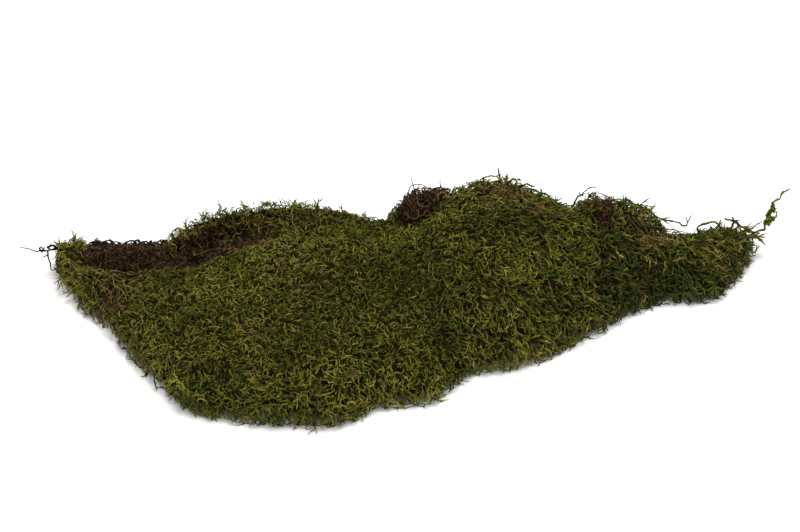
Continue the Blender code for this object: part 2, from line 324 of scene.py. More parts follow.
@dataclass(frozen=True)
class Habit:
    """How the shoots of one piece grow. Angles are in degrees."""

    start: float = 64.0  # pitch above the surface at the root
    end: float = -12.0  # pitch at the tip
    pitch_spread: float = 16.0
    curl: float = 62.0  # how far a shoot turns sideways
    hang: float = 0.9  # pull down a slope
    over: float = 0.2  # mm that the tips stand above the solid
    over_spread: float = 0.9
    setback: float = 0.35  # share of its length that the root lies behind the place


HIGHEST_TIP = 2.2 * MM  # the most that a shoot's tip stands above its solid
CRUST = 0.4 * MM  # the least of a solid that stays under a shoot's root
WOBBLE = 0.012  # of a shoot's length


def grow(places, normals, room, length, habit, rings, rng, flow=0.0):
    """The bending lines of shoots, and the direction to their side at each ring.

    A shoot leaves its root at the start pitch, levels out towards the end pitch and turns sideways
    on the way. Its highest point is near the skin, and its root is inside the solid.
    """
    count = len(places)
    pull = flow + habit.hang * np.array([0, 0, -1.0])
    heading = rng.normal(size=(count, 3)) + pull * 1.6
    heading = unit(heading - (heading * normals).sum(1, keepdims=True) * normals)
    across = np.cross(normals, heading)
    mid = (np.arange(rings - 1) + 0.5) / (rings - 1)
    spread = habit.pitch_spread
    start = np.radians(rng.normal(habit.start, spread, count))[:, None]
    end = np.radians(rng.normal(habit.end, spread * 1.3, count))[:, None]
    turn = np.radians(rng.normal(0, habit.curl, count))[:, None]
    pitch = start * (1 - mid) + end * mid
    yaw = turn * mid**1.4
    step = (length / (rings - 1))[:, None]
    ahead = np.cumsum(np.pad(np.cos(pitch) * np.cos(yaw) * step, ((0, 0), (1, 0))), axis=1)
    aside = np.cumsum(np.pad(np.cos(pitch) * np.sin(yaw) * step, ((0, 0), (1, 0))), axis=1)
    climb = np.cumsum(np.pad(np.sin(pitch) * step, ((0, 0), (1, 0))), axis=1)
    highest = climb.max(1)
    squeeze = np.clip((room - CRUST) / np.maximum(highest, 1e-6), 0.12, 1.0)
    over = np.minimum(rng.normal(habit.over, habit.over_spread, count) * MM, HIGHEST_TIP)
    root = places + normals * (over - highest * squeeze)[:, None]
    root -= heading * (length * habit.setback)[:, None]
    path = (
        root[:, None]
        + heading[:, None] * ahead[..., None]
        + across[:, None] * aside[..., None]
        + normals[:, None] * (climb * squeeze[:, None])[..., None]
    )
    wobble = rng.normal(size=path.shape) * (length * WOBBLE)[:, None, None]
    at_ring = turn * (np.arange(rings) / (rings - 1)) ** 1.4
    side = -heading[:, None] * np.sin(at_ring)[..., None]
    side += across[:, None] * np.cos(at_ring)[..., None]
    return path + wobble, side


# A strand's thickness along it: shares of its length, and the thickness there.
SHOOT_PROFILE = ((0, 0.15, 0.4, 0.75, 0.92, 1), (0.55, 0.85, 1.0, 0.9, 0.65, 0.4))
ROOT_PROFILE = ((0, 0.5, 1), (1.0, 0.75, 0.35))
LEAFY_CORE, BARE_CORE = 0.36, 0.5  # a strand's radius without its scales, as a share of its width
LEAFY_TWIST, BARE_TWIST = 1.05, 0.3  # the turn from one ring to the next, in radians


def strands(
    path, side, width, tone, rng, leafy=True, age_shift=0.0, profile=SHOOT_PROFILE, dullness=None
):
    """Closed three-sided strands along the paths, as (places, triangles, UV).

    A leafy strand has a pointed scale on each of its faces between two rings, so it looks clad in
    small leaves. The strand's faces are drawn out to the scale's tip, so it stays one closed body.
    A dull strand (above 1) keeps the colour of its old base further up.
    """
    count, rings = path.shape[:2]
    share = np.arange(rings) / (rings - 1)
    radius = width[:, None] * np.interp(share, *profile) * (LEAFY_CORE if leafy else BARE_CORE)
    radius = radius * rng.uniform(0.8, 1.2, radius.shape)
    ahead = unit(np.gradient(path, axis=1))
    side = unit(side - (side * ahead).sum(-1, keepdims=True) * ahead)
    up = np.cross(ahead, side)
    twist = LEAFY_TWIST if leafy else BARE_TWIST
    turn = rng.uniform(0, math.tau, (count, 1)) + np.arange(rings) * twist
    places, tones, ages, outward = [], [], [], []
    for k in range(3):
        angle = (turn + math.tau * k / 3)[..., None]
        outward.append(np.cos(angle) * side + np.sin(angle) * up)
        places.append(path + outward[k] * radius[..., None])
        tones.append(np.broadcast_to(tone[:, None] + 0.02 * (k - 1), (count, rings)))
        ages.append(np.broadcast_to(0.02 + 0.93 * share + 0.012 * k, (count, rings)))
    at = [[k * rings + i for i in range(rings)] for k in range(3)]
    tip = 3 * rings
    places.append(path[:, -1:] + ahead[:, -1:] * (width * 0.6)[:, None, None])
    tones.append(tone[:, None])
    ages.append(np.full((count, 1), 0.99))
    faces, scales = [(at[2][0], at[1][0], at[0][0])], 0
    for k in range(3):
        n = (k + 1) % 3
        faces.append((at[k][-1], at[n][-1], tip))
        for i in range(rings - 1):
            a, b, c, d = at[k][i], at[n][i], at[n][i + 1], at[k][i + 1]
            if leafy and (k + i) % 3:
                point = tip + 1 + scales
                scales += 1
                faces += [(a, b, point), (b, c, point), (c, d, point), (d, a, point)]
            else:
                faces += [(a, b, c), (a, c, d)]
        if leafy:
            kept = [i for i in range(rings - 1) if (k + i) % 3]
            out = unit(outward[k] + outward[n])[:, :-1]
            centre = (path[:, :-1] + path[:, 1:]) / 2
            reach = (radius[:, :-1] + radius[:, 1:]) / 2
            lift = rng.uniform(0.7, 1.7, reach.shape)
            onward = rng.uniform(0.9, 1.9, reach.shape)
            point = centre + out * (reach * (0.8 + 0.6 * lift))[..., None]
            point += ahead[:, :-1] * (reach * onward)[..., None]
            places.append(point[:, kept])
            tones.append(np.broadcast_to(tone[:, None] + 0.045, (count, len(kept))))
            middle = (share[:-1] + share[1:])[kept] / 2
            ages.append(np.broadcast_to(0.12 + 0.93 * middle, (count, len(kept))))
    corners = np.concatenate(places, axis=1)
    each = corners.shape[1]
    faces = np.array(faces)[None] + (each * np.arange(count))[:, None, None]
    age = np.concatenate(ages, axis=1) * (1 - age_shift) + age_shift
    if dullness is not None:
        age = age ** dullness[:, None]
    uv = np.stack([np.clip(np.concatenate(tones, axis=1), 0.005, 0.995), age], axis=-1)
    return corners.reshape(-1, 3), faces.reshape(-1, 3), uv.reshape(-1, 2)


def twigs(path, width, tone, dullness, share, most, rng):
    """Short pointed side shoots on some of the strands, up to `most` on each."""
    rings = path.shape[1]
    chosen = np.repeat(np.arange(len(path)), most)
    chosen = chosen[rng.random(len(chosen)) < np.repeat(share, most)]
    at = rng.uniform(0.2, 0.85, len(chosen)) * (rings - 1)
    k = at.astype(int)
    t = (at - k)[:, None]
    root = path[chosen, k] * (1 - t) + path[chosen, k + 1] * t
    ahead = unit(path[chosen, k + 1] - path[chosen, k])
    aside = unit(np.cross(ahead, rng.normal(size=ahead.shape)))
    whole = np.linalg.norm(path[chosen, -1] - path[chosen, 0], axis=1)
    length = np.clip(whole * rng.uniform(0.2, 0.42, len(chosen)), 1.0 * MM, 4.0 * MM)[:, None, None]
    along = np.array([0.0, 0.55, 1.0])[:, None]
    heading = unit(ahead * rng.uniform(0.3, 1.0, (len(chosen), 1)) + aside)
    route = root[:, None] + length * (heading[:, None] * along + ahead[:, None] * 0.3 * along**2)
    side = np.broadcast_to(np.cross(heading, aside + ahead * 0.3)[:, None], route.shape)
    dull = None if dullness is None else dullness[chosen]
    shade = np.clip(tone[chosen] + 0.05 * rng.normal(size=len(chosen)), DARKEST, BRIGHTEST)
    return strands(
        route, side, width[chosen] * 0.8, shade, rng, leafy=False, age_shift=0.35, dullness=dull
    )  # fmt: skip


def joined(parts):
    """Several (places, triangles, UV) as one."""
    shift, faces = 0, []
    for places, triangles, _ in parts:
        faces.append(triangles + shift)
        shift += len(places)
    places, _, uvs = zip(*parts)
    return np.concatenate(places), np.concatenate(faces), np.concatenate(uvs)


def mesh_piece(name, parts, material):
    """One object from joined parts. Nothing in it reaches below the surface the clump lies on."""
    places, triangles, uv = joined(parts)
    places[:, 2] = np.maximum(places[:, 2], FLOOR_CLEARANCE)
    mesh = bpy.data.meshes.new(name)
    mesh.vertices.add(len(places))
    mesh.vertices.foreach_set("co", places.astype(np.float32).ravel())
    mesh.loops.add(len(triangles) * 3)
    mesh.loops.foreach_set("vertex_index", triangles.astype(np.int32).ravel())
    mesh.polygons.add(len(triangles))
    mesh.polygons.foreach_set("loop_start", np.arange(0, len(triangles) * 3, 3, dtype=np.int32))
    layer = mesh.uv_layers.new(name=UV_MAP)
    layer.uv.foreach_set("vector", uv[triangles.ravel()].astype(np.float32).ravel())
    mesh.update(calc_edges=True)
    mesh.validate()
    mesh.shade_flat()
    return add_piece(name, mesh, material)


def add_piece(name, mesh, material, replaced=()):
    mesh.materials.clear()
    mesh.materials.append(material)
    piece = bpy.data.objects.new(name, mesh)
    bpy.context.scene.collection.objects.link(piece)
    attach(piece, BODY)
    if replaced:
        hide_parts(*replaced)
    return piece


# --- Ground: remeshed and roughened solids --------------------------------------------


def remeshed(node, voxel):
    """A closed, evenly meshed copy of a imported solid."""
    copy = bpy.data.objects.new("remesh_source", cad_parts[node].data.copy())
    bpy.context.scene.collection.objects.link(copy)
    remesh = copy.modifiers.new("Remesh", "REMESH")
    remesh.mode = "VOXEL"
    remesh.voxel_size = voxel
    bpy.context.view_layer.update()
    graph = bpy.context.evaluated_depsgraph_get()
    mesh = bpy.data.meshes.new_from_object(copy.evaluated_get(graph))
    bpy.data.objects.remove(copy, do_unlink=True)
    return mesh


@dataclass(frozen=True)
class Ground:
    """How a solid's surface is remeshed and roughened. Lengths are in mm."""

    voxel: float
    roughness: float
    grain: float


MAT_GROUND = Ground(voxel=2.0, roughness=3.0, grain=4.2)
CLOD_GROUND = Ground(voxel=1.3, roughness=3.0, grain=4.5)
CARPET_GROUND = Ground(voxel=2.0, roughness=1.6, grain=3.6)
TUFT_GROUND = Ground(voxel=1.8, roughness=1.6, grain=3.6)
CLOD_SINK = 0.6 * MM


def ground_piece(name, node, ground, sink, material):
    """A node's solid with its surface lowered by sink(places, normals) and made crumbly."""
    mesh = remeshed(node, ground.voxel * MM)
    places, normals = vectors(mesh.vertices, "co"), vectors(mesh.vertices, "normal")
    grain = ground.grain * MM
    rough = bumps(places, grain, 11) + 0.5 * bumps(places, grain / 2.3, 12)
    shift = ground.roughness * MM * (rough - 0.35) - sink(places, normals)
    box_low, box_high = (np.array(corner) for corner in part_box(node))
    moved = np.clip(places + normals * shift[:, None], box_low, box_high)
    mesh.vertices.foreach_set("co", moved.astype(np.float32).ravel())
    mesh.shade_smooth()
    mesh.update()
    return add_piece(name, mesh, material, replaced=(node,))


def thatch_sink(node, share, most):
    """Lowers the outside of a moss solid to the level where its old brown shoots lie."""
    tree = solid_tree(node)

    def sink(places, normals):
        room = room_below(tree, places, normals, most)
        hidden = np.array([
            HUMUS_TREE.ray_cast(Vector(p), Vector(n), TOUCHING)[0] is not None
            for p, n in zip(places, normals)
        ])  # fmt: skip
        return np.where(hidden, 0.0, share * room)

    return sink


def no_sink(places, normals):
    return np.zeros(len(places))


def clod_sink(places, normals):
    return np.full(len(places), CLOD_SINK)


NEIGHBOURS = 1.1  # corners of a crumb of radius 1 that are less far apart share an edge


def crumbs(places, normals, size, rng):
    """Small rough lumps with twelve corners, half sunk into the ground."""
    count = len(places)
    golden = (1 + 5**0.5) / 2
    corners = [
        (0, a, b * golden)[s:] + (0, a, b * golden)[:s]
        for s in range(3) for a in (-1, 1) for b in (-1, 1)
    ]  # fmt: skip
    corners = unit(np.array(corners, float))
    each = len(corners)
    faces = [
        (i, j, k)
        for i in range(each) for j in range(i + 1, each) for k in range(j + 1, each)
        if max(math.dist(corners[p], corners[q]) for p, q in ((i, j), (j, k), (i, k))) < NEIGHBOURS
    ]  # fmt: skip
    outward = [
        (i, j, k) if np.linalg.det(corners[[i, j, k]]) > 0 else (i, k, j) for i, j, k in faces
    ]
    radius = size * rng.uniform(0.35, 1.0, count) ** 1.5
    stretch = rng.uniform(0.55, 1.45, (count, 1, 3))
    rough = rng.uniform(0.75, 1.25, (count, each, 1))
    lumps = corners[None] * stretch * rough * radius[:, None, None]
    lumps += (places + normals * (radius * 0.2)[:, None])[:, None]
    triangles = np.array(outward)[None] + (each * np.arange(count))[:, None, None]
    tone = rng.beta(1.2, 2.7, count)[:, None] + rng.uniform(-0.04, 0.04, (count, each))
    age = rng.uniform(0.25, 0.95, (count, each))
    uv = np.clip(np.stack([tone, age], axis=-1), 0.01, 0.99)
    return lumps.reshape(-1, 3), triangles.reshape(-1, 3), uv.reshape(-1, 2)


LOOSE_ROOM = 3 * MM  # how far the roots of loose strands reach down
ROOTLET_HABIT = Habit(
    start=58, end=-25, pitch_spread=32, curl=150, hang=0.2, over=0.9, over_spread=0.8, setback=0.4
)


def rootlets(places, normals, length, width, rng, rings=7, habit=ROOTLET_HABIT, tone=None):
    """Fine curly roots that leave the ground and turn back into it."""
    count = len(places)
    lengths = length * rng.uniform(0.5, 1.3, count)
    path, side = grow(places, normals, np.full(count, LOOSE_ROOM), lengths, habit, rings, rng)
    tone = rng.beta(1.2, 2.0, count) if tone is None else tone
    widths = width * rng.uniform(0.6, 1.4, count)
    return strands(path, side, widths, tone, rng, leafy=False, profile=ROOT_PROFILE, age_shift=0.2)


def loops(places, radius, tone, width, rng, leafy=False, rings=9, age_shift=0.4):
    """Strands that stand up as small open rings."""
    count = len(places)
    azimuth = rng.normal(0.0, 0.7, count)[:, None]
    angle = rng.uniform(-1.2, -0.4, count)[:, None]
    angle = angle + rng.uniform(3.6, 5.2, (count, 1)) * np.linspace(0, 1, rings)
    size = (radius * rng.uniform(0.6, 1.3, count))[:, None]
    wide = size * np.cos(angle)
    drift = size * rng.normal(0, 0.7, (count, 1)) * np.linspace(-1, 1, rings)
    path = np.stack([
        places[:, :1] + wide * np.cos(azimuth) - drift * np.sin(azimuth),
        places[:, 1:2] + wide * np.sin(azimuth) + drift * np.cos(azimuth),
        places[:, 2:] + size * (np.sin(angle) + 0.55),
    ], axis=-1)  # fmt: skip
    path += rng.normal(size=path.shape) * (size * 0.07)[..., None]
    side = np.broadcast_to(np.array([0.2, 1.0, 0.1]), path.shape)
    widths = width * rng.uniform(0.7, 1.3, count)
    tones = np.clip(rng.normal(tone, 0.1, count), DARKEST, BRIGHTEST)
    profile = SHOOT_PROFILE if leafy else ROOT_PROFILE
    return strands(path, side, widths, tones, rng, leafy, age_shift, profile)


# --- Finishes -------------------------------------------------------------------------


def new_finish(name, roughness, specular):
    made = bpy.data.materials.new(name)
    made.use_nodes = True
    shader = made.node_tree.nodes["Principled BSDF"]
    shader.inputs["Roughness"].default_value = roughness
    shader.inputs["Specular IOR Level"].default_value = specular
    return made, made.node_tree, shader


def add_node(tree, kind, inputs, **settings):
    """A shader node. Each of its inputs is a plain value, or the output that feeds it."""
    node = tree.nodes.new("ShaderNode" + kind)
    for key, value in settings.items():
        setattr(node, key, value)
    for socket, value in inputs.items():
        if isinstance(value, bpy.types.NodeSocket):
            tree.links.new(value, node.inputs[socket])
        else:
            node.inputs[socket].default_value = value
    return node


def ramp(tree, factor, stops):
    """The colour that the factor picks from a ramp through (position, colour) stops."""
    node = add_node(tree, "ValToRGB", {"Fac": factor})
    elements = node.color_ramp.elements
    while len(elements) < len(stops):
        elements.new(0.5)
    for element, (position, colour) in zip(elements, stops):
        element.position = position
        element.color = (*colour, 1.0)
    return node.outputs["Color"]


def mixed(tree, first, second, factor=1.0, blend="MIX"):
    """Two colours mixed by the factor."""
    inputs = {"Factor": factor, "A": first, "B": second}
    return add_node(tree, "Mix", inputs, data_type="RGBA", blend_type=blend).outputs["Result"]


def strand_finish(name, young, old, fresh_from, fresh_to, roughness=0.7, specular=0.14):
    """A finish for strands: their tone picks two colours, and their age blends from old to young."""
    made, tree, shader = new_finish(name, roughness, specular)
    uv = add_node(tree, "UVMap", {}, uv_map=UV_MAP).outputs["UV"]
    tone, age, _ = add_node(tree, "SeparateXYZ", {"Vector": uv}).outputs
    limits = {"Value": age, "From Min": fresh_from, "From Max": fresh_to}
    youth = add_node(tree, "MapRange", limits, interpolation_type="SMOOTHSTEP").outputs["Result"]
    colour = mixed(tree, ramp(tree, tone, old), ramp(tree, tone, young), youth)
    tree.links.new(colour, shader.inputs["Base Color"])
    return made


def tinted(colour, share):
    """A darker or brighter copy of a colour."""
    return [part * share for part in colour]


def moss_finish(name="moss_shoots"):
    if name in bpy.data.materials:
        return bpy.data.materials[name]
    s = bpy.context.scene.moss_shoots
    young = (
        (0.0, s.shade_green), (0.3, s.leaf_green), (0.55, s.olive), (0.75, s.yellow),
        (0.86, s.straw), (1.0, s.rust),
    )  # fmt: skip
    old = ((0.0, tinted(s.old_base, 0.5)), (0.6, s.old_base), (1.0, tinted(s.old_base, 1.6)))
    return strand_finish(name, young, old, fresh_from=0.12, fresh_to=0.8)


def root_finish(name="fine_roots"):
    if name in bpy.data.materials:
        return bpy.data.materials[name]
    s = bpy.context.scene.moss_humus
    young = ((0.0, s.dark), (0.45, s.brown), (1.0, s.pale))
    old = ((0.0, s.dark), (1.0, s.brown))
    return strand_finish(
        name, young, old, fresh_from=0.0, fresh_to=0.9, roughness=0.9, specular=0.04
    )


def ground_finish(name, dark, mid, light, grain, bump):
    """A crumbly finish: coarse patches and fine grains between three colours, with a fine bump."""
    if name in bpy.data.materials:
        return bpy.data.materials[name]
    made, tree, shader = new_finish(name, roughness=1.0, specular=0.0)
    place = add_node(tree, "TexCoord", {}).outputs["Object"]
    coarse, fine = (
        add_node(tree, "TexNoise", {
            "Vector": place, "Scale": 1 / size, "Detail": detail, "Roughness": 0.65
        }).outputs["Fac"]
        for size, detail in ((grain * 7, 3.0), (grain, 5.0))
    )  # fmt: skip
    grains = ramp(tree, fine, ((0.40, dark), (0.53, mid), (0.68, light)))
    patches = ramp(tree, coarse, ((0.35, (0.45, 0.45, 0.45)), (0.65, (1.2, 1.15, 1.1))))
    tree.links.new(mixed(tree, grains, patches, blend="MULTIPLY"), shader.inputs["Base Color"])
    relief = {"Strength": bump, "Distance": grain * 0.6, "Height": fine}
    tree.links.new(add_node(tree, "Bump", relief).outputs["Normal"], shader.inputs["Normal"])
    return made


def humus_finish(name="crumbly_humus", brightness=1.0):
    s = bpy.context.scene.moss_humus
    colours = (tinted(colour, brightness) for colour in (s.dark, s.brown, s.pale))
    return ground_finish(name, *colours, grain=1.6 * MM, bump=0.7)


def thatch_finish():
    s = bpy.context.scene.moss_shoots
    colours = (tinted(s.old_base, share) for share in (0.5, 1.5, 3.0))
    return ground_finish("moss_thatch", *colours, grain=1.8 * MM, bump=0.6)


# --- Pieces ---------------------------------------------------------------------------


def relief(points):
    """Height in metres of the moss's cushions above or below its solid's surface."""
    swell = bumps(points, 17 * MM, 21)
    crease = np.exp(-((bumps(points, 13 * MM, 22) / 0.07) ** 2))
    height = 1.4 * swell - 1.7 * crease - 1.8 * near(points, SHADED_HOLLOWS)
    return (height - 0.9 * near(points, DRY_PATCHES)) * MM


SHOOT_RINGS = ((4, 0, 5.4 * MM), (5, 5.4 * MM, 7.5 * MM), (6, 7.5 * MM, 1))  # by shoot length


def moss_shoots(
    places, normals, room, habit, rng, flow=None, tone_shift=0.0, coarse=None, dull=1.0
):
    """Leafy shoots at the places, shorter and finer or longer and coarser with where they grow."""
    s = bpy.context.scene.moss_shoots
    coarse = coarseness(places) if coarse is None else np.full(len(places), coarse)
    length = s.length + (s.coarse_length - s.length) * coarse
    flow = np.zeros_like(places) if flow is None else flow
    length = length * np.clip(rng.lognormal(0.0, 0.28, len(places)), 0.5, 1.9)
    width = s.width + (s.coarse_width - s.width) * coarse
    width = width * rng.uniform(0.7, 1.3, len(places))
    tone = moss_tone(places, rng, tone_shift)
    dullness = dull * np.clip(rng.lognormal(-0.08, 0.5, len(places)), 0.3, 2.5)
    # Painted shade: in the hollows the shoots keep the dark colour of their old base further up.
    dullness *= 1 + 1.1 * near(places, SHADED_HOLLOWS) + 0.45 * coarse
    parts = []
    for rings, low, high in SHOOT_RINGS:
        chosen = (length >= low) & (length < high)
        if chosen.any():
            path, side = grow(
                places[chosen], normals[chosen], room[chosen], length[chosen], habit, rings, rng,
                flow[chosen],
            )  # fmt: skip
            look = width[chosen], tone[chosen]
            parts.append(strands(path, side, *look, rng, dullness=dullness[chosen]))
            share = 0.18 + 0.45 * coarse[chosen]
            parts.append(twigs(path, *look, dullness[chosen], share, most=3, rng=rng))
    return parts


FRINGE_HABIT = Habit(
    start=30, end=-15, pitch_spread=25, curl=90, hang=0.4, over=1.5, over_spread=1.2
)
FRINGE_SPACING = 3.2 * MM
FRINGE_LENGTH = 9.5 * MM
FRINGE_WIDTH = 1.0 * MM
FRINGE_TONE = -0.02
FRINGE_STEEPNESS = 0.45  # it grows where the surface normal's Z is below this


def fringe(skin, rng):
    """Loose shoots that stand out from the steep outer edge of the carpet."""
    places, normals = evenly(skin, FRINGE_SPACING, rng)
    steep = normals[:, 2] < FRINGE_STEEPNESS
    places, normals = places[steep], normals[steep]
    count = len(places)
    lengths = FRINGE_LENGTH * rng.uniform(0.5, 1.4, count)
    room = np.full(count, LOOSE_ROOM)
    path, side = grow(places, normals, room, lengths, FRINGE_HABIT, rings=8, rng=rng)
    widths = FRINGE_WIDTH * rng.uniform(0.6, 1.2, count)
    tones = np.clip(moss_tone(places, rng) + FRINGE_TONE, DARKEST, BRIGHTEST)
    dullness = rng.uniform(0.6, 2.0, count)
    return [
        strands(path, side, widths, tones, rng, dullness=dullness),
        twigs(path, widths, tones, dullness, np.full(count, 0.5), most=4, rng=rng),
    ]


def carpet_flow(points):
    """The way the carpet's shoots lean: down to the right on its right half, forward at its front."""
    right = smooth_step(points[:, 0], 0.0, 70 * MM)
    front = smooth_step(-points[:, 1], 30 * MM, 60 * MM)
    swirl = 2.4 * bumps(points, 26 * MM, 31)
    flow = np.stack([0.8 * right - 0.2 * front, -0.5 * right - 0.4 * front, 0 * right], axis=1)
    flow[:, 0] += 0.6 * np.cos(swirl * 2)
    flow[:, 1] += 0.6 * np.sin(swirl * 2)
    return flow


CARPET_DEPTH = 9 * MM  # the most that a shoot or the thatch reaches into the moss


def bedded(node, places, normals):
    """The places moved up or down to the moss's cushions, and how thick the solid is there."""
    room = room_below(solid_tree(node), places, normals, CARPET_DEPTH)
    return places + normals * np.minimum(relief(places), 0.3 * room)[:, None], room


def moss_spacing(points):
    s = bpy.context.scene.moss_shoots
    return s.spacing + (s.coarse_spacing - s.spacing) * coarseness(points)


# --- Loose strands: tables in mm, in the clump's own frame ----------------------------


@dataclass(frozen=True)
class Strand:
    """One loose strand through the points of its route, in mm. A draped one's Z is above the moss."""

    width: float
    tone: float
    route: tuple
    leafy: bool = True
    twigs: int = 0
    draped: bool = False
    youth: float = 0.2  # 0 keeps the old base colour, 1 is all young


def stem(width, tone, *route, **options):
    """A leafy strand that stands free."""
    return Strand(width, tone, route, **options)


def laid_stem(width, tone, *route, **options):
    """A leafy strand that lies on the clump."""
    return Strand(width, tone, route, draped=True, **options)


def root(width, tone, *route, **options):
    """A bare strand that stands free."""
    return Strand(width, tone, route, leafy=False, **options)


def fibre(width, tone, *route):
    """A bare dead strand that lies on the clump."""
    return Strand(width, tone, route, leafy=False, draped=True)


@dataclass(frozen=True)
class Sprig:
    """Leafy shoots that fan out from one (x, y) on top of the clump. Lengths are in mm."""

    place: tuple
    heading: tuple
    length: float
    count: int
    tone: float = 0.45
    spread: float = 0.45
    width: float = 0.9


LOOSE = {
    "long_stem": (
        stem(1.81, 0.45, (172, 51, 8), (176, 53, 10.5), (180, 54, 13), (183, 54.5, 13.5),
            (183.5, 55, 16.5), (184, 55, 20.5), (184.5, 56, 22.5), (186, 56, 26), (187, 57, 29),
            (190, 57, 31.5), (191, 58, 33.5), (193, 58, 36), (194.5, 58, 36.5)),
        stem(1.45, 0.4, (183.5, 55, 18), (187, 55, 18.5), (188.5, 55, 20.5), (189, 56, 23.5)),
        stem(3.77, 0.5, (183.6, 55, 16.5), (185.5, 54.5, 19), (184.6, 55.5, 22.5), youth=0.7),
        stem(2.9, 0.42, (184.8, 56, 23), (186.5, 55.5, 25.5), (186.3, 56.5, 28)),
    ),
    "forked_stem": (
        stem(1.45, 0.4, (171, 50, 8), (176, 51, 11), (179, 51, 11.5), (184.5, 51, 13.5), twigs=2),
        stem(1.74, 0.42, (171, 50, 7), (176, 52, 10), (179, 52, 10.5), (184.5, 50, 7), twigs=2),
        stem(1.45, 0.4, (168, 52, 9), (173, 54, 13), (176.5, 54, 14.5), (182, 55, 18), twigs=2),
    ),
    "tail_stem": (
        stem(2.03, 0.4, (163, 58, 17.5), (168, 58, 16), (172.5, 58, 13), (177, 57, 11),
            (181, 55, 8), twigs=3),
        stem(1.74, 0.36, (167.5, 58, 19), (168, 58, 14), (166, 57, 11), (164.5, 56, 8),
            (164, 54, 4), twigs=2),
        stem(1.3, 0.5, (171, 58, 14), (169.5, 57, 11), (170, 56, 8), (168, 54, 5)),
    ),
    "arched_stem": (
        stem(1.59, 0.35, (154, 54, 6), (149.5, 55, 13), (150.5, 55, 15.5), (154, 56, 16),
            (158.5, 56, 17), (161, 56, 14.5), (161, 56, 9.5), (161.5, 54, 4), twigs=2),
        stem(1.89, 0.3, (158, 54, 5), (157.5, 55, 9), (156.5, 55, 15), twigs=3),
        stem(1.45, 0.5, (161, 56, 18.5), (161, 56, 13), (162, 55, 7)),
        stem(1.59, 0.3, (149.5, 55, 13.5), (152, 55, 11), (146, 55, 9.5), (140.5, 54, 8),
            (134, 50, 9), twigs=3),
    ),
    "hooked_stem": (
        stem(1.3, 0.35, (122, 54, 19), (127.5, 56, 20), (133, 57, 17.5), (136, 57, 17),
            (140.5, 58, 15), (143.5, 58, 13), (144.6, 58, 15), (144, 58, 18), twigs=3),
        stem(1.01, 0.3, (126, 52, 14), (130.5, 55, 14), (134, 55, 13), (138, 56, 12),
            (144.5, 56, 10)),
        stem(1.01, 0.5, (128, 55, 19), (130, 55, 15), (132, 54, 11), (136, 52, 7)),
        stem(1.16, 0.6, (126, 54, 20), (128, 54, 15), (128, 52, 11), (131, 50, 8)),
    ),
    "crest_stem": (
        stem(1.7, 0.3, (50, 57, 36), (48.8, 58, 40.5), (47.8, 59, 44.5), (47, 60, 47.5)),
        laid_stem(2.0, 0.62, (50.5, 56, -1), (51, 56, 2.5), (51.5, 56, 5.5), youth=0.6),
        laid_stem(1.6, 0.4, (51, 56, -1), (53, 56, 2.5), (55.5, 56, 4.5), (58.5, 56, 4.2)),
        laid_stem(1.5, 0.2, (57, 56, -1), (60, 56, 2.5), (63, 56, 4.2), (65.5, 56, 4.5)),
        laid_stem(1.3, 0.66, (37, 55, -1), (39, 55, 3), (43, 55, 4.4), (47, 55, 3.6),
            (49.5, 55, -0.5), twigs=3, youth=0.5),
        laid_stem(1.4, 0.3, (67, 56, -1), (69.5, 56, 2.2), (72, 56, 3), (73.5, 56, 1)),
        laid_stem(1.4, 0.2, (80, 55, -1), (84, 55, 2), (87.5, 55, 5), (90, 55, 4), twigs=3),
        laid_stem(0.9, 0.1, (87, 55, 4.5), (91, 55, 6), (94, 55, 6.3), (96.5, 55, 7.5)),
    ),
    "left_rootlet": (
        root(1.16, 0.12, (-168, 37, 12), (-172.5, 37, 14), (-175, 37, 14.5), (-179.5, 37, 13),
            (-182, 37, 13.8), (-185, 37, 12.6), (-189, 38, 13.6), (-192.5, 38, 14.5), youth=0.1),
        root(1.74, 0.08, (-174, 37, 14.5), (-176, 37, 16.6), (-179, 37, 15.5), (-178, 38, 13.5),
            (-175, 37, 13.5), youth=0.0),
        root(1.01, 0.1, (-179, 37, 13.5), (-179, 37, 9.5), (-178.5, 36, 6), (-178, 35, 2.5),
            (-176, 34, 3.5), (-174, 33, 3), (-170, 33, 5.5), youth=0.0),
        root(0.87, 0.1, (-179, 37, 11), (-181, 37, 9.4), (-182.5, 37, 9), youth=0.0),
        root(1.2, 0.1, (-181.5, 37, 12.6), (-183, 37, 14.6), (-181.8, 37, 15.2), (-180.8, 37, 13),
            youth=0.0),
        root(0.87, 0.1, (-181, 37, 13), (-180.5, 37, 15.6), youth=0.0),
    ),
    "clod_rootlet": (
        root(0.7, 0.1, (6, 46, 40), (5, 47, 44), (4.3, 47, 47.5), (3.8, 48, 50), (4, 49, 52.5)),
        root(0.8, 0.5, (2, 45, 38), (2, 46, 42.5), (3.5, 47, 45.8), (7, 47, 47), (11, 47, 45.5),
            (13.5, 46, 40)),
        root(0.8, 0.3, (4, 46, 43), (7, 45, 46), (10, 46, 44.5), (12, 45, 41)),
    ),
}  # fmt: skip
